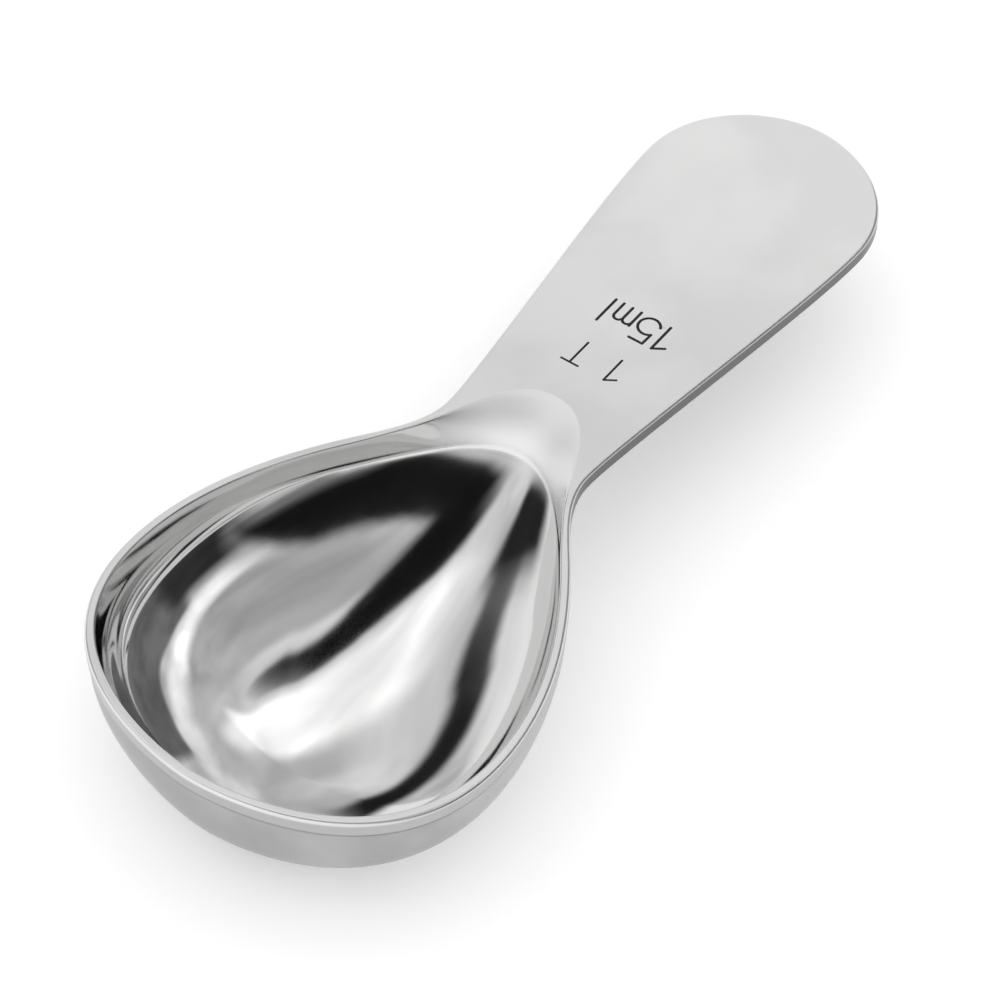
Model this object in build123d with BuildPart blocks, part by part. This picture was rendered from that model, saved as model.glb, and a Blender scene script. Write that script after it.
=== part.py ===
from build123d import *
import os
from math import atan2, cos, degrees, hypot, radians, sin, sqrt

# Measuring spoon of 15 ml, one tablespoon, pressed from a single blank of stainless sheet.
# X runs from the front of the bowl to the end of the handle, with 0 at the bowl's deepest point. The outlines are
# drawn on the rim's own plane, whose X has its 0 at the bowl's widest station.
# The rim of the bowl and the top of the handle lie in one plane. The underside of the bowl is at Z = 0.
# All sizes are in millimetres.

# Bowl, outside
BOWL_HEIGHT = 14.78
RIM_FRONT = 18.43
RIM_HALF_WIDTH = 22.07
DEEPEST_FORWARD = 5.1
UPRIGHT = 3.33

# Where the curved side of the bowl turns into the straight flank that runs to the neck
FLANK_X = 22.07
FLANK_HALF_WIDTH = 13.53

# Sheet: as rolled in the handle and thinned by the drawing in the bowl
SHEET = 1.87
WALL = 1.04
FLOOR = 1.04
EDGE_ROUND = 0.4
LIP_ROUND = 0.2
WALL_SETBACK = 0.125

# Neck, where the sheet rolls down from the handle into the bowl
NECK_LENGTH = 9.89
NECK_HALF_WIDTH = 8.5
TIP_PAST_NECK = 0.31
NECK_ROLL = 5.2
NECK_ROLL_ANGLE = 65.0

# Handle, from the narrowest place to the widest, and on to its round end
GRIP_LENGTH = 41.43
HANDLE_HALF_WIDTH = 13.17
HANDLE_END_LENGTH = 12.65

# How full the curves of the outline are, as shares of the sizes that they span
FLANK_FALL_SHARE = 0.70
FRONT_NOSE_SHARE = 0.184
FRONT_CORNER_SHARE = 0.895
SIDE_REACH_SHARE = 0.40
FLANK_REACH_SHARE = 0.30
TIP_FLANK_SHARE = 0.50
TIP_NOSE_SHARE = 0.567
UNDER_NOSE_SHARE = 0.445
ROLL_REACH_SHARE = 1.00
ROLL_SPREAD_SHARE = 0.17
NECK_IN_SHARE = 0.35
NECK_OUT_SHARE = 0.38
GRIP_START_SHARE = 0.13
GRIP_FINISH_SHARE = 0.20
END_CORNER_SHARE = 0.62
END_NOSE_SHARE = 0.45

# Profile of the bowl under the upright part of its wall: how its level sections shrink with depth, towards
# a steep front, round sides and a long ramp that climbs to the neck
WALL_POWER = 1.96
FRONT_POWER = 3.5
SIDE_POWER = 2.1
RAMP_POWER = 1.15
NECK_POWER = 1.63
UPRIGHT_COUNT = 3
LEVEL_COUNT = 12
LAST_LEVEL_ANGLE = 83.0

# Capacity marks, engraved across the handle to be read from its end, and filled dark
MARK_DEPTH = 0.15
FILL_CLEARANCE = 0.01
TABLESPOON_FROM_NECK = 14.37
TABLESPOON_HEIGHT = 3.23
TABLESPOON_LINE = 0.27
MILLILITRE_FROM_NECK = 20.92
MILLILITRE_HEIGHT = 3.49
MILLILITRE_LINE = 0.333

# Places of the strokes along a row, from the handle's centre line, as shares of the row's height
TABLESPOON_ONE_SHARE = -0.735
TEE_SHARE = 0.54
TEE_ARM_SHARE = 0.31
MILLILITRE_ONE_SHARE = -1.07
FLAG_RUN_SHARE = 0.33
FLAG_DROP_SHARE = 0.22
FIVE_SHARE = -0.54
FIVE_RADIUS_SHARE = 0.33
FIVE_LEFT_SHARE = 0.215
FIVE_RIGHT_SHARE = 0.25
FIVE_START_ANGLE = 134.0
FIVE_TURN = 290.0
M_SHARE = -0.05
M_PITCH_SHARE = 0.305
SMALL_HEIGHT_SHARE = 0.645
L_SHARE = 0.84

os.makedirs("parts", exist_ok=True)

DEEPEST_X = -DEEPEST_FORWARD
RIM = Plane((DEEPEST_FORWARD, 0, BOWL_HEIGHT))
NECK_X = FLANK_X + NECK_LENGTH
BOWL_TIP_X = NECK_X + TIP_PAST_NECK
HANDLE_WIDEST_X = NECK_X + GRIP_LENGTH
HANDLE_END_X = HANDLE_WIDEST_X + HANDLE_END_LENGTH
FLANK_ANGLE = atan2(FLANK_HALF_WIDTH - NECK_HALF_WIDTH, NECK_LENGTH * FLANK_FALL_SHARE)
FLANK_DROP = sin(FLANK_ANGLE)
FLANK_RUN = cos(FLANK_ANGLE)
ROLL_DEPTH = NECK_ROLL * sin(radians(NECK_ROLL_ANGLE))


def sizes_at(share):
    """How far a level section reaches at a share of the curved depth: to the front, across and to the neck."""
    wall = 1 - share**WALL_POWER
    ramp = 1 - share**RAMP_POWER
    return wall ** (1 / FRONT_POWER), wall ** (1 / SIDE_POWER), ramp ** (1 / NECK_POWER)


def levels(top_depth, floor_depth):
    """Depth and sizes of each section down to a flat floor, closer together towards the floor."""
    spacing = (UPRIGHT - top_depth) / UPRIGHT_COUNT
    upright = [top_depth + spacing * step for step in range(UPRIGHT_COUNT + 1)]
    turn = LAST_LEVEL_ANGLE / LEVEL_COUNT
    shares = [sin(radians(turn * level)) for level in range(1, LEVEL_COUNT + 1)]
    fall = (floor_depth - UPRIGHT) / shares[-1]
    curved = [(UPRIGHT + share * fall, sizes_at(share)) for share in shares]
    return [(depth, sizes_at(0)) for depth in upright] + curved


def tip_at(depth, roll):
    """Where a section's tip lies before it shrinks: the neck rolls over a circle of this radius."""
    rise = max(ROLL_DEPTH - depth, 0)
    return BOWL_TIP_X + NECK_ROLL - sqrt(roll**2 - rise**2)


def side_points(inset, at):
    """Control points of the bowl's front corner and of its side, which ends in the straight flank."""
    front = inset - RIM_FRONT
    half_width = RIM_HALF_WIDTH - inset
    flank_x = FLANK_X - inset * FLANK_DROP
    flank_y = FLANK_HALF_WIDTH - inset * FLANK_RUN
    reach = FLANK_X * FLANK_REACH_SHARE
    corner = [
        at(front, 0),
        at(front, half_width * FRONT_NOSE_SHARE),
        at(front * FRONT_CORNER_SHARE, half_width),
        at(0, half_width),
    ]
    side = [
        at(0, half_width),
        at(flank_x * SIDE_REACH_SHARE, half_width),
        at(flank_x - reach * FLANK_RUN, flank_y + reach * FLANK_DROP),
        at(flank_x, flank_y),
    ]
    return corner, side


# The outlines stay chains of separate curves, so their faces are made here, outside any block.
def both_sides(half):
    """Face inside an outline, from the curves of its left half and the same curves mirrored."""
    return make_face(half + mirror(half, about=Plane.XZ).edges())


def bowl_section(depth, inset, sizes, tip_x, nose_share):
    """Face of a level section of the bowl: the rim's pear shape, drawn in, then shrunk."""
    to_front, across, to_neck = sizes

    def at(x, y):
        along = to_neck if x > DEEPEST_X else to_front
        return (DEEPEST_X + (x - DEEPEST_X) * along, y * across)

    corner, side = side_points(inset, at)
    flank_x = FLANK_X - inset * FLANK_DROP
    flank_y = FLANK_HALF_WIDTH - inset * FLANK_RUN
    rolled = tip_x - BOWL_TIP_X
    reach = (BOWL_TIP_X - flank_x) * TIP_FLANK_SHARE + rolled * ROLL_REACH_SHARE
    nose = NECK_HALF_WIDTH * nose_share + rolled * ROLL_SPREAD_SHARE
    tip = [
        at(flank_x, flank_y),
        at(flank_x + reach * FLANK_RUN, flank_y - reach * FLANK_DROP),
        at(tip_x, nose),
        at(tip_x, 0),
    ]
    return RIM.offset(-depth) * both_sides([Bezier(*corner), Bezier(*side), Bezier(*tip)])


def blank_section():
    """Face of the flat blank: bowl rim, neck and handle in one sweep."""
    corner, side = side_points(0, lambda x, y: (x, y))
    into_neck = NECK_LENGTH * NECK_IN_SHARE
    neck = [
        (FLANK_X, FLANK_HALF_WIDTH),
        (FLANK_X + into_neck * FLANK_RUN, FLANK_HALF_WIDTH - into_neck * FLANK_DROP),
        (NECK_X - NECK_LENGTH * NECK_OUT_SHARE, NECK_HALF_WIDTH),
        (NECK_X, NECK_HALF_WIDTH),
    ]
    handle = [
        (NECK_X, NECK_HALF_WIDTH),
        (NECK_X + GRIP_LENGTH * GRIP_START_SHARE, NECK_HALF_WIDTH),
        (HANDLE_WIDEST_X - GRIP_LENGTH * GRIP_FINISH_SHARE, HANDLE_HALF_WIDTH),
        (HANDLE_WIDEST_X, HANDLE_HALF_WIDTH),
    ]
    handle_end = [
        (HANDLE_WIDEST_X, HANDLE_HALF_WIDTH),
        (HANDLE_WIDEST_X + HANDLE_END_LENGTH * END_CORNER_SHARE, HANDLE_HALF_WIDTH),
        (HANDLE_END_X, HANDLE_HALF_WIDTH * END_NOSE_SHARE),
        (HANDLE_END_X, 0),
    ]
    return RIM * both_sides([Bezier(*points) for points in (corner, side, neck, handle, handle_end)])


blank_face = blank_section()
outside_sections = [
    bowl_section(depth, WALL_SETBACK, sizes, tip_at(max(depth, SHEET), NECK_ROLL - SHEET), UNDER_NOSE_SHARE)
    for depth, sizes in levels(SHEET / 2, BOWL_HEIGHT)
]
inside_sections = [
    bowl_section(depth, WALL, sizes, tip_at(depth, NECK_ROLL), TIP_NOSE_SHARE)
    for depth, sizes in levels(0, BOWL_HEIGHT - FLOOR)
]

# Blank with its edges rounded all round
with BuildPart() as blank:
    extrude(blank_face, amount=-SHEET, clean=False)
    fillet(blank.edges().filter_by(Plane.XY), radius=EDGE_ROUND)

# Outside of the bowl, from inside the blank down to its flat underside
with BuildPart() as bowl_outside:
    loft(outside_sections, clean=False)

# Inside of the bowl, which is the measure when it is filled level with the rim
with BuildPart() as bowl_inside:
    loft(inside_sections, clean=False)
print(f"measure {bowl_inside.part.volume / 1000:.2f} ml")


def stroke(start, end, width):
    """One straight round-ended stroke of a mark, added to the open sketch."""
    run, rise = end[0] - start[0], end[1] - start[1]
    with Locations(((start[0] + end[0]) / 2, (start[1] + end[1]) / 2)):
        SlotCenterToCenter(hypot(run, rise), width, rotation=degrees(atan2(rise, run)))


def bend(middle, radius, start_angle, turn, width):
    """One curved round-ended stroke of a mark, added to the open sketch."""
    SlotArc(Edge.make_circle(radius, Plane(middle), start_angle, start_angle + turn), width)


def one(x, height, width):
    """The figure one: an upright with a short flag."""
    stroke((x, 0), (x, height), width)
    stroke((x, height), (x - height * FLAG_RUN_SHARE, height * (1 - FLAG_DROP_SHARE)), width)


def tablespoon_mark(width):
    """One tablespoon."""
    height = TABLESPOON_HEIGHT
    tee, arm = height * TEE_SHARE, height * TEE_ARM_SHARE
    one(height * TABLESPOON_ONE_SHARE, height, width)
    stroke((tee, 0), (tee, height), width)
    stroke((tee - arm, height), (tee + arm, height), width)


def millilitre_mark(width):
    """Fifteen millilitres."""
    height = MILLILITRE_HEIGHT
    small = height * SMALL_HEIGHT_SHARE
    pitch = height * M_PITCH_SHARE
    radius = height * FIVE_RADIUS_SHARE
    five, start = height * FIVE_SHARE, radians(FIVE_START_ANGLE)
    left = five - height * FIVE_LEFT_SHARE
    one(height * MILLILITRE_ONE_SHARE, height, width)
    bend((five, radius), radius, FIVE_START_ANGLE - FIVE_TURN, FIVE_TURN, width)
    stroke((five + radius * cos(start), radius + radius * sin(start)), (left, height), width)
    stroke((left, height), (five + height * FIVE_RIGHT_SHARE, height), width)
    stroke((height * M_SHARE, 0), (height * M_SHARE, small), width)
    for leg in (1, 2):
        x = height * M_SHARE + leg * pitch
        bend((x - pitch / 2, small - pitch / 2), pitch / 2, 0, 180, width)
        stroke((x, 0), (x, small - pitch / 2), width)
    stroke((height * L_SHARE, 0), (height * L_SHARE, height), width)


def row(from_neck):
    """Plane on top of the handle whose X runs across it and whose Y runs back to the bowl."""
    middle = RIM.from_local_coords((NECK_X + from_neck, 0))
    return Plane(origin=middle, x_dir=(0, 1, 0), z_dir=(0, 0, 1))


# Spoon: blank and bowl in one piece, hollowed, with the marks cut into the handle
with BuildPart() as pressed_spoon:
    add(blank)
    add(bowl_outside)
    add(bowl_inside, mode=Mode.SUBTRACT)
    top = pressed_spoon.faces().filter_by(Axis.Z).sort_by(Axis.Z)[-1]
    fillet(top.inner_wires()[0].edges(), radius=LIP_ROUND)
    with BuildSketch(row(TABLESPOON_FROM_NECK)):
        tablespoon_mark(TABLESPOON_LINE)
    extrude(amount=-MARK_DEPTH, mode=Mode.SUBTRACT)
    with BuildSketch(row(MILLILITRE_FROM_NECK)):
        millilitre_mark(MILLILITRE_LINE)
    extrude(amount=-MARK_DEPTH, mode=Mode.SUBTRACT)

# Dark fill of the marks, a little narrower than the grooves that it lies in
with BuildPart() as tablespoon_mark_fill:
    with BuildSketch(row(TABLESPOON_FROM_NECK)):
        tablespoon_mark(TABLESPOON_LINE - 2 * FILL_CLEARANCE)
    extrude(amount=-MARK_DEPTH)

with BuildPart() as millilitre_mark_fill:
    with BuildSketch(row(MILLILITRE_FROM_NECK)):
        millilitre_mark(MILLILITRE_LINE - 2 * FILL_CLEARANCE)
    extrude(amount=-MARK_DEPTH)

pressed_spoon.part.label = "pressed_spoon"
tablespoon_mark_fill.part.label = "tablespoon_mark_fill"
millilitre_mark_fill.part.label = "millilitre_mark_fill"
export_step(pressed_spoon.part, "parts/pressed_spoon.step")
export_step(tablespoon_mark_fill.part, "parts/tablespoon_mark_fill.step")
export_step(millilitre_mark_fill.part, "parts/millilitre_mark_fill.step")
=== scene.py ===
import math

import bpy
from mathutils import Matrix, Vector


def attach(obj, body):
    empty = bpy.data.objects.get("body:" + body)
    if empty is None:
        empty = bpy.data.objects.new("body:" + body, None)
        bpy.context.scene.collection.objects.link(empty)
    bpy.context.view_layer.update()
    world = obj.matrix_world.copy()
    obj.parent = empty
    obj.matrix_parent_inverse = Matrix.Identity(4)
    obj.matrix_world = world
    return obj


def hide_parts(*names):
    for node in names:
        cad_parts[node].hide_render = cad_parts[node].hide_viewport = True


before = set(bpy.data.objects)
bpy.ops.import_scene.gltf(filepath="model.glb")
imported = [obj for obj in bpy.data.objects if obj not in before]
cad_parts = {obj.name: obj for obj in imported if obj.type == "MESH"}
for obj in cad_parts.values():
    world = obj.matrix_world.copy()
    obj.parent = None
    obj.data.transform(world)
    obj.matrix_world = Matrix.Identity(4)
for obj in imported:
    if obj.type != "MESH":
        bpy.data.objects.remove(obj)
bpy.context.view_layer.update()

# Measuring spoon of one tablespoon, pressed from one blank of stainless sheet.
# Sizes are in millimetres, as on the part's own drawing. MM turns them into metres where points are placed.
MM = 0.001

# Bowl, outside. The outlines are drawn on the rim's own plane, from the bowl's widest station.
BOWL_HEIGHT = 14.78
RIM_FRONT = 18.43
RIM_HALF_WIDTH = 22.07
DEEPEST_FORWARD = 5.1
UPRIGHT = 3.33
FLANK_X = 22.07
FLANK_HALF_WIDTH = 13.53

# Sheet
SHEET = 1.87
WALL = 1.04
FLOOR = 1.04
EDGE_ROUND = 0.4
LIP_ROUND = 0.2
WALL_SETBACK = 0.125

# Neck and handle
NECK_LENGTH = 9.89
NECK_HALF_WIDTH = 8.5
TIP_PAST_NECK = 0.31
NECK_ROLL = 5.2
NECK_ROLL_ANGLE = 65.0
GRIP_LENGTH = 41.43
HANDLE_HALF_WIDTH = 13.17
HANDLE_END_LENGTH = 12.65

# How far the brink of the neck is drawn out along the handle, and how deep down that is felt
ROLL_EASE = 2.5
ROLL_EASE_DEPTH = 3.7
ROLL_EASE_POWER = 1.4
ROLL_EASE_START = 26.5
ROLL_EASE_BLEND = 3.2
BRINK_EASE = 0.8
BRINK_EASE_DEPTH = 0.6

# How full the curves of the outline are, as shares of the sizes that they span
FLANK_FALL_SHARE = 0.70
FRONT_NOSE_SHARE = 0.184
FRONT_CORNER_SHARE = 0.895
SIDE_REACH_SHARE = 0.40
FLANK_REACH_SHARE = 0.30
TIP_FLANK_SHARE = 0.50
TIP_NOSE_SHARE = 0.567
UNDER_NOSE_SHARE = 0.445
ROLL_REACH_SHARE = 1.00
ROLL_SPREAD_SHARE = 0.17
NECK_IN_SHARE = 0.35
NECK_OUT_SHARE = 0.38
GRIP_START_SHARE = 0.13
GRIP_FINISH_SHARE = 0.20
END_CORNER_SHARE = 0.62
END_NOSE_SHARE = 0.45

# How the bowl's level sections shrink with depth: to the front, across and to the neck
WALL_POWER = 1.96
FRONT_POWER = 3.5
SIDE_POWER = 2.1
RAMP_POWER = 1.15
NECK_POWER = 1.63
LAST_LEVEL_ANGLE = 83.0

DEEPEST_X = -DEEPEST_FORWARD
NECK_X = FLANK_X + NECK_LENGTH
BOWL_TIP_X = NECK_X + TIP_PAST_NECK
HANDLE_WIDEST_X = NECK_X + GRIP_LENGTH
HANDLE_END_X = HANDLE_WIDEST_X + HANDLE_END_LENGTH
FLANK_ANGLE = math.atan2(FLANK_HALF_WIDTH - NECK_HALF_WIDTH, NECK_LENGTH * FLANK_FALL_SHARE)
FLANK_DROP = math.sin(FLANK_ANGLE)
FLANK_RUN = math.cos(FLANK_ANGLE)
ROLL_DEPTH = NECK_ROLL * math.sin(math.radians(NECK_ROLL_ANGLE))

# Where the bowl's polish gives way to the satin of the neck's roll, also painted lighter as a painted
# highlight, along the handle from the bowl's deepest point and up from the underside, and how much rougher
# the satin is
ROLL_SATIN_AND_SHEEN_START = 32.0
ROLL_SATIN_AND_SHEEN_FINISH = 36.5
ROLL_SATIN_AND_SHEEN_FOOT = BOWL_HEIGHT - ROLL_DEPTH
ROLL_SATIN_AND_SHEEN_TOP = BOWL_HEIGHT - ROLL_DEPTH / 2
ROLL_HAZE = 0.44

# Where the edge's painted shade deepens from its level round the bowl to its darkest along the handle, from
# the bowl's deepest point
EDGE_SHADE_START = 20.0
EDGE_SHADE_FULL = 34.0

# How finely the curved surfaces are divided
AROUND_BOWL = 288
AROUND_BLANK = 560
ROUND_STEPS = 8
OUTSIDE_UPRIGHT_STEPS = 6
OUTSIDE_CURVE_STEPS = 70
INSIDE_UPRIGHT_STEPS = 10
INSIDE_CURVE_STEPS = 110
LAST_RING_ANGLE = 89.7
STEPS_PER_CURVE = 200
SMOOTH_ANGLE = 32.0
NORMAL_WEIGHT = 90
MARK_TOP_SLACK = 0.05

# Within how many metres two points of a surface count as one
MERGE_DISTANCE = 1e-7
MARK_MERGE_DISTANCE = 1e-6

# Grain, clouds and ripples of the steel: size and depth of each, and how much it changes the roughness
CLOUD_SIZE = 16
CLOUD_SPREAD = (0.36, 0.64)
CLOUD_HAZE = 0.08
GRAIN_SIZE = 0.22
GRAIN_DEPTH = 0.0012
GRAIN_HAZE = 0.04
RIPPLE_SIZE = 7
RIPPLE_DEPTH = 0.016
BUFFING_SIZE = 9
BUFFING_HAZE = 0.04
LINE_SIZE = 0.5
LINE_STRETCH = 0.06
LINE_HAZE = 0.03
FILL_GRAIN_SIZE = 0.12
FILL_GRAIN_DEPTH = 0.006
FILL_ROUGHNESS = 0.7
FILL_HAZE = 0.2


# Finishes of the steel

# Numbers of the colours among the sockets of a Mix node
FIRST_COLOUR = 6
SECOND_COLOUR = 7
MIXED_COLOUR = 2


class Value:
    """One output of a finish's nodes. Arithmetic on it adds Math nodes."""

    def __init__(self, finish, socket):
        self.finish = finish
        self.socket = socket

    def math(self, operation, *values):
        return self.finish.node("Math", {"operation": operation}, dict(enumerate(values)))

    def __add__(self, other):
        return self.math("ADD", self, other)

    def __sub__(self, other):
        return self.math("SUBTRACT", self, other)

    def __rsub__(self, other):
        return self.math("SUBTRACT", other, self)

    def __mul__(self, other):
        return self.math("MULTIPLY", self, other)

    __radd__ = __add__
    __rmul__ = __mul__

    def between(self, low, high):
        """0 below low, 1 above high and a soft step between."""
        spread = {"Value": self, "From Min": low, "From Max": high}
        return self.finish.node("MapRange", {"interpolation_type": "SMOOTHSTEP"}, spread)


class Finish:
    """A material whose nodes are written as expressions."""

    def __init__(self, name):
        self.material = bpy.data.materials.new(name)
        self.material.use_nodes = True
        self.tree = self.material.node_tree
        self.tree.nodes.clear()

    def node(self, kind, settings=None, sockets=None, output=0):
        made = self.tree.nodes.new("ShaderNode" + kind)
        for name, setting in (settings or {}).items():
            setattr(made, name, setting)
        for name, value in (sockets or {}).items():
            if isinstance(value, Value):
                self.tree.links.new(value.socket, made.inputs[name])
            else:
                made.inputs[name].default_value = value
        return Value(self, made.outputs[output]) if made.outputs else None

    def place(self):
        """Where a point lies on the part."""
        return self.node("TexCoord", output="Object")

    def along(self):
        """How far along the handle a point lies."""
        return self.node("SeparateXYZ", {}, {"Vector": self.place()}, output="X")

    def height(self):
        """How high a point lies."""
        return self.node("SeparateXYZ", {}, {"Vector": self.place()}, output="Z")

    def noise(self, size_mm, detail=2.0, stretch=(1, 1, 1)):
        """Soft random figure from 0 to 1, with lumps of about this size."""
        scale = [share / (size_mm * MM) for share in stretch]
        point = self.node("Mapping", {}, {"Vector": self.place(), "Scale": scale})
        return self.node("TexNoise", {}, {"Vector": point, "Scale": 1.0, "Detail": detail})

    def bump(self, height, depth_mm):
        return self.node("Bump", {}, {"Height": height, "Distance": depth_mm * MM, "Strength": 1.0})

    def mix(self, first, second, share):
        """Colour between two, each a tint or a value."""
        ends = [end if isinstance(end, Value) else (*end, 1) for end in (first, second)]
        sockets = {"Factor": share, FIRST_COLOUR: ends[0], SECOND_COLOUR: ends[1]}
        return self.node("Mix", {"data_type": "RGBA"}, sockets, output=MIXED_COLOUR)

    def surface(self, **sockets):
        named = {name.replace("_", " ").title(): value for name, value in sockets.items()}
        shader = self.node("BsdfPrincipled", {}, named)
        self.node("OutputMaterial", {}, {"Surface": shader})
        return self.material


def satin_steel(name, low, high, roughness, painted_far_sheen=0.0, edge=None, painted_handle_edge_shade=None):
    """Tumbled stainless sheet: an even satin with faint clouds, a very fine grain and a far end painted
    brighter, a painted highlight.

    Below its rounded top, the edge is painted darker, a painted shade: as dark as the outer wall round the
    bowl, and darker still along the handle.
    """
    finish = Finish(name)
    clouds = finish.noise(CLOUD_SIZE, detail=3)
    grain = finish.noise(GRAIN_SIZE, detail=1)
    # Painted highlight: the colour brightens towards the handle's far end
    reach = finish.along().between(NECK_X * MM, HANDLE_END_X * MM)
    colour = finish.mix(low, high, clouds.between(*CLOUD_SPREAD) * (1 - painted_far_sheen) + reach * painted_far_sheen)
    # Painted shade: the edge under the rounded top is painted dark, darker still along the handle
    if edge:
        side_top = (BOWL_HEIGHT - EDGE_ROUND) * MM
        face_edge = (BOWL_HEIGHT - EDGE_ROUND / 4) * MM
        below = 1 - finish.height().between(side_top, face_edge)
        handle_edge_shade_share = finish.along().between(EDGE_SHADE_START * MM, EDGE_SHADE_FULL * MM)
        colour = finish.mix(colour, finish.mix(edge, painted_handle_edge_shade, handle_edge_shade_share), below)
    return finish.surface(
        base_color=colour,
        metallic=1.0,
        roughness=clouds * CLOUD_HAZE + grain * GRAIN_HAZE + roughness,
        normal=finish.bump(grain, GRAIN_DEPTH),
    )


def polished_steel(name, low, high, roughness, roll_highlight_colour):
    """Buffed stainless sheet: a mirror with slow ripples, left satin where the neck rolls into the bowl and
    painted lighter there, a painted highlight.
    """
    finish = Finish(name)
    ripples = finish.noise(RIPPLE_SIZE, detail=2)
    haze = finish.noise(BUFFING_SIZE, detail=3)
    lines = finish.noise(LINE_SIZE, detail=2, stretch=(LINE_STRETCH, 1, 1))
    roll = finish.along().between(ROLL_SATIN_AND_SHEEN_START * MM, ROLL_SATIN_AND_SHEEN_FINISH * MM)
    roll = roll * finish.height().between(ROLL_SATIN_AND_SHEEN_FOOT * MM, ROLL_SATIN_AND_SHEEN_TOP * MM)
    # Painted highlight: where the neck rolls, the colour is lifted towards a near white
    return finish.surface(
        base_color=finish.mix(finish.mix(low, high, haze), roll_highlight_colour, roll),
        metallic=1.0,
        roughness=haze * BUFFING_HAZE + lines * LINE_HAZE + roll * ROLL_HAZE + roughness,
        normal=finish.bump(ripples, RIPPLE_DEPTH),
    )


def dark_fill(name):
    """Matt dark fill of the engraved marks."""
    finish = Finish(name)
    grain = finish.noise(FILL_GRAIN_SIZE, detail=2)
    return finish.surface(
        base_color=finish.mix((0.004, 0.004, 0.005), (0.014, 0.014, 0.015), grain),
        roughness=grain * FILL_HAZE + FILL_ROUGHNESS,
        normal=finish.bump(grain, FILL_GRAIN_DEPTH),
    )


# Painted highlight: the handle's far end is painted brighter
handle_steel = satin_steel(
    "handle_satin_steel", (0.80, 0.80, 0.80), (0.98, 0.98, 0.975), 0.26,
    # Painted shade on the edge, round the bowl and along the handle
    painted_far_sheen=0.55, edge=(0.46, 0.46, 0.46), painted_handle_edge_shade=(0.14, 0.14, 0.14))
# Painted shade: the outer wall is a darker copy of the handle's steel
shaded_wall_steel = satin_steel("outer_wall_steel_painted_shade", (0.36, 0.36, 0.365), (0.48, 0.48, 0.48), 0.26)
# Painted highlight: the near white of the neck's roll
bowl_steel = polished_steel(
    "bowl_polished_steel", (0.72, 0.72, 0.72), (0.77, 0.77, 0.765), 0.03, roll_highlight_colour=(0.97, 0.97, 0.97))
mark_fill = dark_fill("mark_dark_fill")


# Shape of the spoon


def bezier(points, share):
    """Point on one curve of an outline, and the direction in which it runs there."""
    rest = 1 - share
    a, b, c, d = (Vector(point) for point in points)
    point = a * rest**3 + b * 3 * rest**2 * share + c * 3 * rest * share**2 + d * share**3
    run = (b - a) * rest**2 + (c - b) * 2 * rest * share + (d - c) * share**2
    return point, run.normalized()


def even_stations(curves, count):
    """Curve number and share along it for places that lie evenly along half an outline."""
    fine = STEPS_PER_CURVE
    walk = [(number, step / fine) for number in range(len(curves)) for step in range(fine)]
    walk.append((len(curves) - 1, 1.0))
    points = [bezier(curves[number], share)[0] for number, share in walk]
    length = [0.0]
    for here, there in zip(points, points[1:]):
        length.append(length[-1] + (there - here).length)
    stations = []
    at = 0
    for step in range(count):
        wanted = length[-1] * step / (count - 1)
        while at < len(length) - 2 and length[at + 1] < wanted:
            at += 1
        share = (wanted - length[at]) / (length[at + 1] - length[at])
        number, start = walk[at]
        stations.append((number, min(start + share / fine, 1.0)))
    return stations


def round_outline(curves, stations, inset=0.0):
    """Points all round an outline: its left half from front to back, then the same mirrored."""
    half = []
    for number, share in stations:
        point, run = bezier(curves[number], share)
        half.append((point.x + run.y * inset, point.y - run.x * inset))
    return half + [(x, -y) for x, y in half[-2:0:-1]]


def side_curves(inset, at):
    """Curves of the bowl's front corner and of its side, which ends in the straight flank."""
    front = inset - RIM_FRONT
    half_width = RIM_HALF_WIDTH - inset
    flank_x = FLANK_X - inset * FLANK_DROP
    flank_y = FLANK_HALF_WIDTH - inset * FLANK_RUN
    reach = FLANK_X * FLANK_REACH_SHARE
    corner = [
        at(front, 0),
        at(front, half_width * FRONT_NOSE_SHARE),
        at(front * FRONT_CORNER_SHARE, half_width),
        at(0, half_width),
    ]
    side = [
        at(0, half_width),
        at(flank_x * SIDE_REACH_SHARE, half_width),
        at(flank_x - reach * FLANK_RUN, flank_y + reach * FLANK_DROP),
        at(flank_x, flank_y),
    ]
    return [corner, side]


def bowl_curves(inset, sizes, tip_x, nose_share):
    """Curves of a level section of the bowl: the rim's pear shape, drawn in, then shrunk."""
    to_front, across, to_neck = sizes

    def at(x, y):
        along = to_neck if x > DEEPEST_X else to_front
        return (DEEPEST_X + (x - DEEPEST_X) * along, y * across)

    flank_x = FLANK_X - inset * FLANK_DROP
    flank_y = FLANK_HALF_WIDTH - inset * FLANK_RUN
    rolled = tip_x - BOWL_TIP_X
    reach = (BOWL_TIP_X - flank_x) * TIP_FLANK_SHARE + rolled * ROLL_REACH_SHARE
    nose = NECK_HALF_WIDTH * nose_share + rolled * ROLL_SPREAD_SHARE
    tip = [
        at(flank_x, flank_y),
        at(flank_x + reach * FLANK_RUN, flank_y - reach * FLANK_DROP),
        at(tip_x, nose),
        at(tip_x, 0),
    ]
    return side_curves(inset, at) + [tip]


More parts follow.
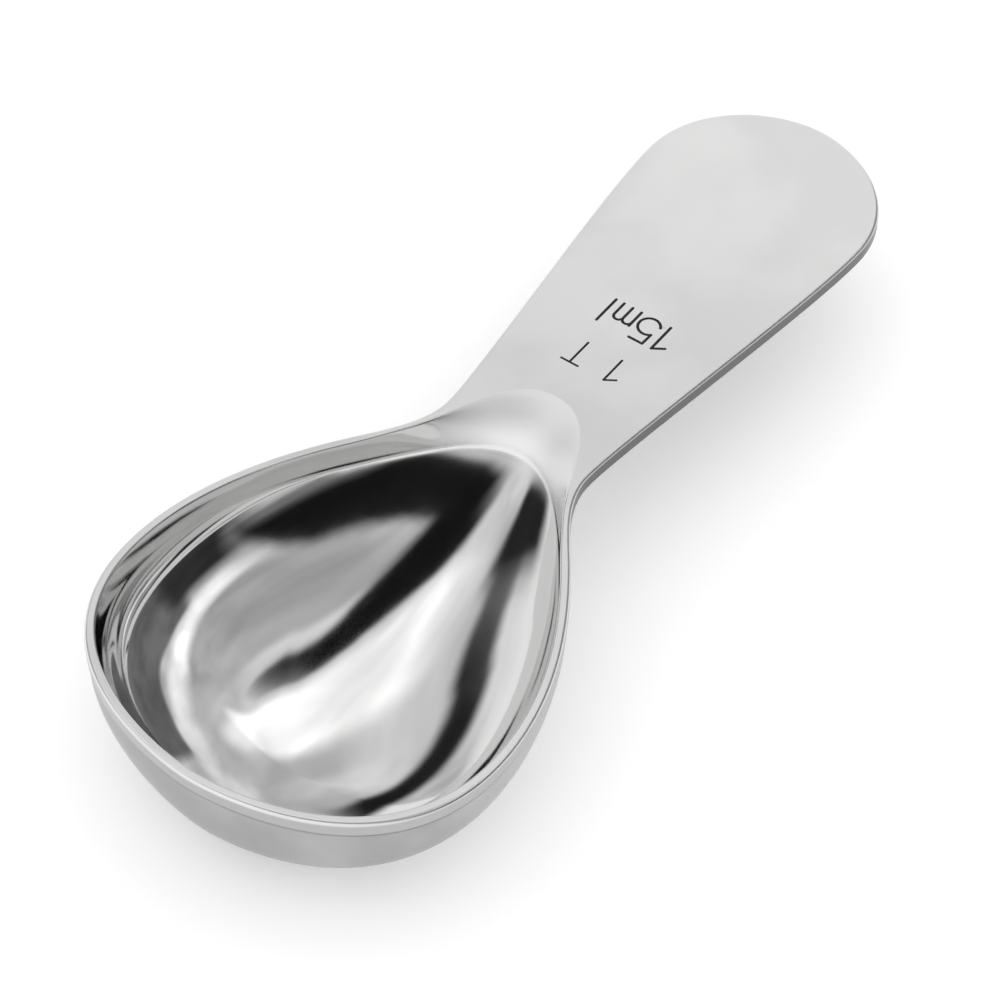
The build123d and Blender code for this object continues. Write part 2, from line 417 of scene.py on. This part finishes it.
def blank_curves():
    """Curves of the flat blank: bowl rim, neck and handle in one sweep."""
    into_neck = NECK_LENGTH * NECK_IN_SHARE
    neck = [
        (FLANK_X, FLANK_HALF_WIDTH),
        (FLANK_X + into_neck * FLANK_RUN, FLANK_HALF_WIDTH - into_neck * FLANK_DROP),
        (NECK_X - NECK_LENGTH * NECK_OUT_SHARE, NECK_HALF_WIDTH),
        (NECK_X, NECK_HALF_WIDTH),
    ]
    handle = [
        (NECK_X, NECK_HALF_WIDTH),
        (NECK_X + GRIP_LENGTH * GRIP_START_SHARE, NECK_HALF_WIDTH),
        (HANDLE_WIDEST_X - GRIP_LENGTH * GRIP_FINISH_SHARE, HANDLE_HALF_WIDTH),
        (HANDLE_WIDEST_X, HANDLE_HALF_WIDTH),
    ]
    handle_end = [
        (HANDLE_WIDEST_X, HANDLE_HALF_WIDTH),
        (HANDLE_WIDEST_X + HANDLE_END_LENGTH * END_CORNER_SHARE, HANDLE_HALF_WIDTH),
        (HANDLE_END_X, HANDLE_HALF_WIDTH * END_NOSE_SHARE),
        (HANDLE_END_X, 0),
    ]
    return side_curves(0, lambda x, y: (x, y)) + [neck, handle, handle_end]


def tip_at(depth, roll):
    """Where a section's tip lies before it shrinks: the neck rolls over a circle of this radius."""
    rise = max(ROLL_DEPTH - depth, 0)
    return BOWL_TIP_X + NECK_ROLL - math.sqrt(roll**2 - rise**2)


def sizes_at(share):
    """How far a section reaches at a share of the curved depth: to the front, across and to the neck."""
    wall = 1 - share**WALL_POWER
    ramp = 1 - share**RAMP_POWER
    return wall ** (1 / FRONT_POWER), wall ** (1 / SIDE_POWER), ramp ** (1 / NECK_POWER)


def curved_levels(floor_depth, count):
    """Depth and sizes of the sections under the upright wall, down to a last one of almost no size."""
    fall = (floor_depth - UPRIGHT) / math.sin(math.radians(LAST_LEVEL_ANGLE))
    shares = [math.sin(math.radians(LAST_RING_ANGLE * level / count)) for level in range(1, count + 1)]
    return [(UPRIGHT + share * fall, sizes_at(share)) for share in shares]


def upright_levels(top_depth, count):
    """Depth and sizes of the sections down the upright part of the wall."""
    spacing = (UPRIGHT - top_depth) / count
    return [(top_depth + spacing * step, sizes_at(0)) for step in range(count + 1)]


def wrap_grid(name, rings, material):
    """A grid rolled up into rings of points, each (points in the plane, depth under the rim)."""
    around = len(rings[0][0])
    bpy.ops.object.select_all(action="DESELECT")
    bpy.ops.mesh.primitive_grid_add(x_subdivisions=around, y_subdivisions=len(rings) - 1, size=1)
    piece = bpy.context.object
    piece.name = piece.data.name = name
    for vertex in piece.data.vertices:
        step = round((vertex.co.x + 0.5) * around) % around
        points, depth = rings[round((vertex.co.y + 0.5) * (len(rings) - 1))]
        x, y = points[step]
        vertex.co = Vector((x + DEEPEST_FORWARD, y, BOWL_HEIGHT - depth)) * MM
    bpy.ops.object.mode_set(mode="EDIT")
    bpy.ops.mesh.select_all(action="SELECT")
    bpy.ops.mesh.remove_doubles(threshold=MERGE_DISTANCE)
    bpy.ops.mesh.select_all(action="DESELECT")
    bpy.ops.mesh.select_non_manifold(extend=False, use_wire=False, use_multi_face=False,
                                     use_non_contiguous=False, use_verts=False)
    bpy.ops.mesh.fill_holes(sides=0)
    bpy.ops.mesh.select_all(action="SELECT")
    bpy.ops.mesh.normals_make_consistent(inside=False)
    bpy.ops.object.mode_set(mode="OBJECT")
    piece.data.materials.append(material)
    return piece


def combine(piece, tool, operation):
    """Joins a tool's shape to a piece or cuts it out, and removes the tool."""
    bpy.ops.object.select_all(action="DESELECT")
    piece.select_set(True)
    bpy.context.view_layer.objects.active = piece
    bpy.ops.object.modifier_add(type="BOOLEAN")
    change = piece.modifiers[-1]
    change.operation = operation
    change.object = tool
    change.solver = "EXACT"
    change.material_mode = "TRANSFER"
    bpy.ops.object.modifier_apply(modifier=change.name)
    bpy.data.objects.remove(tool)


def make_blank():
    """Flat blank with both its edges rounded."""
    curves = blank_curves()
    stations = even_stations(curves, AROUND_BLANK // 2 + 1)
    rings = []
    for step in range(ROUND_STEPS + 1):
        turn = math.radians(90) * step / ROUND_STEPS
        rings.append((EDGE_ROUND * (1 - math.sin(turn)), EDGE_ROUND * (1 - math.cos(turn))))
    rings += [(inset, SHEET - depth) for inset, depth in reversed(rings)]
    rings = [(round_outline(curves, stations, inset), depth) for inset, depth in rings]
    return wrap_grid("pressed_spoon_steel", rings, handle_steel)


def make_bowl_outside():
    """Outside of the bowl, from inside the blank down to its flat underside."""
    whole = bowl_curves(0, sizes_at(0), BOWL_TIP_X, UNDER_NOSE_SHARE)
    stations = even_stations(whole, AROUND_BOWL // 2 + 1)
    rings = []
    wall = upright_levels(SHEET / 2, OUTSIDE_UPRIGHT_STEPS) + curved_levels(BOWL_HEIGHT, OUTSIDE_CURVE_STEPS)
    for depth, sizes in wall:
        tip_x = tip_at(max(depth, SHEET), NECK_ROLL - SHEET)
        curves = bowl_curves(WALL_SETBACK, sizes, tip_x, UNDER_NOSE_SHARE)
        rings.append((round_outline(curves, stations), min(depth, BOWL_HEIGHT)))
    return wrap_grid("bowl_outside", rings, shaded_wall_steel)


def ease_neck(points, depth):
    """Draws the top of the neck's roll out, so that the handle runs down into the bowl without a break."""
    ease = ROLL_EASE * max(1 - depth / ROLL_EASE_DEPTH, 0) ** ROLL_EASE_POWER
    ease += BRINK_EASE * max(1 - depth / BRINK_EASE_DEPTH, 0) ** 2
    eased = []
    for x, y in points:
        share = min(max((x - ROLL_EASE_START) / (BOWL_TIP_X - ROLL_EASE_START + ROLL_EASE_BLEND), 0), 1)
        eased.append((x + ease * share**2 * (3 - 2 * share), y))
    return eased


def make_bowl_inside():
    """Inside of the bowl, with the round of its lip, reaching up past the rim."""
    whole = bowl_curves(0, sizes_at(0), BOWL_TIP_X, TIP_NOSE_SHARE)
    stations = even_stations(whole, AROUND_BOWL // 2 + 1)
    lip = []
    for step in range(ROUND_STEPS + 1):
        turn = math.radians(90) * step / ROUND_STEPS
        lip.append((WALL - LIP_ROUND * (1 - math.sin(turn)), LIP_ROUND * (1 - math.cos(turn)), sizes_at(0)))
    wall = upright_levels(LIP_ROUND, INSIDE_UPRIGHT_STEPS)[1:]
    wall += curved_levels(BOWL_HEIGHT - FLOOR, INSIDE_CURVE_STEPS)
    rings = []
    for inset, depth, sizes in lip + [(WALL, depth, sizes) for depth, sizes in wall]:
        curves = bowl_curves(inset, sizes, tip_at(depth, NECK_ROLL), TIP_NOSE_SHARE)
        rings.append((ease_neck(round_outline(curves, stations), depth), depth))
    rings.insert(0, (rings[0][0], -SHEET))
    return wrap_grid("bowl_inside", rings, bowl_steel)


def mark_cutter(node):
    """The groove of a mark: a closed copy of its fill, reaching up out of the handle."""
    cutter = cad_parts[node].copy()
    cutter.data = cutter.data.copy()
    cutter.parent = None
    bpy.context.collection.objects.link(cutter)
    bpy.ops.object.select_all(action="DESELECT")
    cutter.select_set(True)
    bpy.context.view_layer.objects.active = cutter
    bpy.ops.object.mode_set(mode="EDIT")
    bpy.ops.mesh.select_all(action="SELECT")
    bpy.ops.mesh.remove_doubles(threshold=MARK_MERGE_DISTANCE)
    bpy.ops.object.mode_set(mode="OBJECT")
    for vertex in cutter.data.vertices:
        if vertex.co.z > (BOWL_HEIGHT - MARK_TOP_SLACK) * MM:
            vertex.co.z += SHEET * MM
    return cutter


spoon = make_blank()
combine(spoon, make_bowl_outside(), "UNION")
combine(spoon, make_bowl_inside(), "DIFFERENCE")
for node in ("tablespoon_mark_fill", "millilitre_mark_fill"):
    combine(spoon, mark_cutter(node), "DIFFERENCE")
bpy.ops.object.select_all(action="DESELECT")
spoon.select_set(True)
bpy.context.view_layer.objects.active = spoon
bpy.ops.object.shade_smooth_by_angle(angle=math.radians(SMOOTH_ANGLE))
bpy.ops.object.modifier_add(type="WEIGHTED_NORMAL")
spoon.modifiers[-1].keep_sharp = True
spoon.modifiers[-1].weight = NORMAL_WEIGHT
bpy.ops.object.modifier_apply(modifier=spoon.modifiers[-1].name)
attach(spoon, "root")
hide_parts("pressed_spoon")

for node in ("tablespoon_mark_fill", "millilitre_mark_fill"):
    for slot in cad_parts[node].material_slots:
        slot.material = mark_fill


# Plain studio: a pale floor, white all round, and the cards and dark flags that a polished bowl mirrors
PAPER_GRAIN_SIZE = 2.0
PAPER_LIFT = 0.22
CAMERA_DISTANCE = 308.21
CAMERA_RIGHT = 17.37
CAMERA_UP = 13.38
CAMERA_AZIMUTH = 53.55
CAMERA_ELEVATION = 49.475
LENS = 120.21
SENSOR_WIDTH = 36.0

# Sizes of the studio in metres
FLOOR_SIZE = 4.0
CARD_DISTANCE = 2.0
NEAREST_SEEN = 0.01

# Cards: brightness, stand-off as a share of the distance, soft edge as a share of the width, then the left
# and right edges as directions from the spoon, each given by how far it leans along the handle and across it
CARDS = {
    "grey_tent": (0.70, 1.2, 0.03,
                  [(-0.44, -0.90), (-0.46, -0.5), (-0.44, 0.0), (-0.42, 0.4), (-0.30, 0.95)],
                  [(0.44, -1.0), (0.95, -0.55), (1.08, 0.0), (0.90, 0.20), (0.30, 0.95)]),
    "side_window": (1.0, 1.15, 0.1,
                    [(0.60, 0.72), (0.62, 0.48), (0.72, 0.30), (0.84, 0.16)],
                    [(0.69, 0.72), (0.86, 0.50), (0.93, 0.36), (0.97, 0.20)]),
    "softbox": (1.4, 1.0, 0.22,
                [(-0.11, 0.70), (-0.10, 0.42), (0.0, 0.26), (0.10, 0.19), (0.25, 0.17), (0.35, 0.03)],
                [(0.10, 0.70), (0.22, 0.57), (0.36, 0.43), (0.43, 0.35), (0.48, 0.26), (0.51, 0.07)]),
    "black_flag": (0.006, 0.9, 0.18,
                   [(-0.40, -1.05), (-0.47, -0.62), (-0.43, -0.3), (-0.40, 0.0), (-0.37, 0.2), (-0.33, 0.44)],
                   [(-0.10, -1.12), (-0.16, -0.7), (-0.16, -0.3), (-0.15, 0.0), (-0.10, 0.2), (-0.08, 0.44)]),
    "black_wedge": (0.006, 0.88, 0.2,
                    [(-0.32, 0.46), (-0.1, 0.43), (-0.01, 0.30), (0.08, 0.21), (0.24, 0.17)],
                    [(-0.32, -0.06), (-0.15, -0.04), (-0.04, 0.0), (0.06, 0.06), (0.24, 0.10)]),
    "grey_panel": (0.50, 1.05, 0.12,
                   [(-0.2, 0.05), (-0.2, -0.25), (-0.2, -0.52)],
                   [(0.62, 0.0), (0.60, -0.2), (0.38, -0.45)]),
    "strip_light": (1.35, 0.95, 0.42,
                    [(-0.24, -0.40), (-0.22, -0.58), (-0.10, -0.68), (0.08, -0.68), (0.25, -0.61),
                     (0.42, -0.51), (0.58, -0.36), (0.68, -0.18), (0.72, 0.02), (0.70, 0.12)],
                    [(-0.15, -0.34), (-0.12, -0.42), (-0.06, -0.45), (0.06, -0.44), (0.17, -0.39),
                     (0.29, -0.32), (0.41, -0.21), (0.49, -0.08), (0.52, 0.02), (0.52, 0.10)]),
    "low_flag": (0.03, 1.1, 0.3,
                 [(-0.30, -1.08), (0.1, -1.12), (0.5, -1.0)],
                 [(-0.25, -0.62), (0.05, -0.64), (0.30, -0.60)]),
    "low_panel": (0.16, 1.12, 0.1,
                  [(0.1, -1.12), (0.56, -0.97), (0.90, -0.66), (1.09, -0.25), (1.11, 0.10)],
                  [(0.1, -0.6), (0.35, -0.52), (0.58, -0.38), (0.68, -0.1), (0.70, 0.08)]),
    "top_flag": (0.02, 0.93, 0.25,
                 [(-0.30, 0.93), (-0.30, 0.68)],
                 [(0.02, 0.99), (0.02, 0.68)]),
    "thin_flag": (0.012, 0.92, 0.3,
                  [(-0.20, 0.90), (0.0, 0.89), (0.2, 0.86), (0.4, 0.80), (0.57, 0.72), (0.63, 0.60)],
                  [(-0.20, 0.64), (0.0, 0.73), (0.2, 0.72), (0.37, 0.67), (0.46, 0.62), (0.49, 0.54)]),
}
CARD_STATIONS = 24
CARD_SPLITS = 12
CARD_CLOUD_SIZE = 700
CARD_CLOUD_SPREAD = (0.3, 0.7)
CARD_UNEVEN = 0.28


def paper(name):
    """Matt white paper, plain white to the camera and in the steel except where the spoon shades it."""
    finish = Finish(name)
    grain = finish.noise(PAPER_GRAIN_SIZE)
    colour = finish.mix((0.93, 0.93, 0.93), (0.95, 0.95, 0.95), grain)
    camera_ray = finish.node("LightPath", output="Is Camera Ray")
    glossy_ray = finish.node("LightPath", output="Is Glossy Ray")
    transmission_ray = finish.node("LightPath", output="Is Transmission Ray")
    seen = camera_ray + glossy_ray + transmission_ray
    sheet = finish.node("BsdfDiffuse", {}, {"Color": colour})
    glow = finish.node("Emission", {}, {"Strength": seen * PAPER_LIFT})
    finish.node("OutputMaterial", {}, {"Surface": finish.node("AddShader", {}, {0: sheet, 1: glow})})
    return finish.material


def card_glow(name, level, soft):
    """A slightly uneven glow that fades out towards the card's edges."""
    finish = Finish(name)
    corner = finish.node("TexCoord", output="UV")
    across = finish.node("SeparateXYZ", {}, {"Vector": corner}, output="X")
    along = finish.node("SeparateXYZ", {}, {"Vector": corner}, output="Y")
    sides = across.between(0, soft) * (1 - across).between(0, soft)
    ends = along.between(0, soft) * (1 - along).between(0, soft)
    clouds = finish.noise(CARD_CLOUD_SIZE, detail=3).between(*CARD_CLOUD_SPREAD)
    dim, bright = level * (1 - CARD_UNEVEN), level * (1 + CARD_UNEVEN)
    colour = finish.mix((dim, dim, dim), (bright, bright, bright), clouds)
    clear = finish.node("BsdfTransparent")
    glow = finish.node("Emission", {}, {"Color": colour})
    shown = finish.node("MixShader", {}, {0: sides * ends, 1: clear, 2: glow})
    finish.node("OutputMaterial", {}, {"Surface": shown})
    return finish.material


def smooth_edge(places):
    """Directions spaced evenly along a smooth line through the given ones."""
    ends = [places[0]] + places + [places[-1]]
    runs = len(places) - 1
    line = []
    for step in range(CARD_STATIONS + 1):
        run = min(step * runs // CARD_STATIONS, runs - 1)
        share = step * runs / CARD_STATIONS - run
        before, start, finish, after = (Vector(place) for place in ends[run:run + 4])
        slope, turn = (finish - before) / 2, (after - start) / 2
        line.append(start + slope * share + ((finish - start) * 3 - slope * 2 - turn) * share**2
                    + ((start - finish) * 2 + slope + turn) * share**3)
    return line


def make_card(name, level, stand_off, soft, left, right):
    """A bent card that only the steel's reflections show."""
    bpy.ops.object.select_all(action="DESELECT")
    bpy.ops.mesh.primitive_grid_add(x_subdivisions=CARD_SPLITS, y_subdivisions=CARD_STATIONS, size=1)
    card = bpy.context.object
    card.name = card.data.name = name
    edges = smooth_edge(left), smooth_edge(right)
    for vertex in card.data.vertices:
        station = round((vertex.co.y + 0.5) * CARD_STATIONS)
        x, y = edges[0][station].lerp(edges[1][station], vertex.co.x + 0.5)
        height = math.sqrt(max(1 - x * x - y * y, 0))
        vertex.co = Vector((x, y, height)) * CARD_DISTANCE * stand_off
    card.data.materials.append(card_glow(name, level, soft))
    card.visible_camera = False
    card.visible_diffuse = False
    card.visible_shadow = False


for name, card in CARDS.items():
    make_card(name, *card)

bpy.ops.object.select_all(action="DESELECT")
bpy.ops.mesh.primitive_plane_add(size=FLOOR_SIZE, location=(0, 0, 0))
floor = bpy.context.object
floor.name = "studio_floor"
floor.data.materials.append(paper("white_paper"))

world = bpy.data.worlds.new("white_tent")
bpy.context.scene.world = world
world.use_nodes = True
world.node_tree.nodes["Background"].inputs["Color"].default_value = (1, 1, 1, 1)
world.node_tree.nodes["Background"].inputs["Strength"].default_value = 1.0

azimuth = math.radians(CAMERA_AZIMUTH)
elevation = math.radians(CAMERA_ELEVATION)
right = Vector((math.cos(azimuth), -math.sin(azimuth), 0))
level_run = Vector((math.sin(azimuth), math.cos(azimuth), 0))
forward = level_run * math.cos(elevation) - Vector((0, 0, math.sin(elevation)))
up = right.cross(forward)
aim = Vector((DEEPEST_FORWARD, 0, BOWL_HEIGHT))
place = aim - forward * CAMERA_DISTANCE + right * CAMERA_RIGHT + up * CAMERA_UP
bpy.ops.object.select_all(action="DESELECT")
bpy.ops.object.camera_add(location=place * MM)
camera = bpy.context.object
camera.rotation_mode = "QUATERNION"
camera.rotation_quaternion = forward.to_track_quat("-Z", "Y")
camera.data.lens = LENS
camera.data.sensor_width = SENSOR_WIDTH
camera.data.clip_start = NEAREST_SEEN
bpy.context.scene.camera = camera
bpy.context.scene.view_settings.view_transform = "Standard"
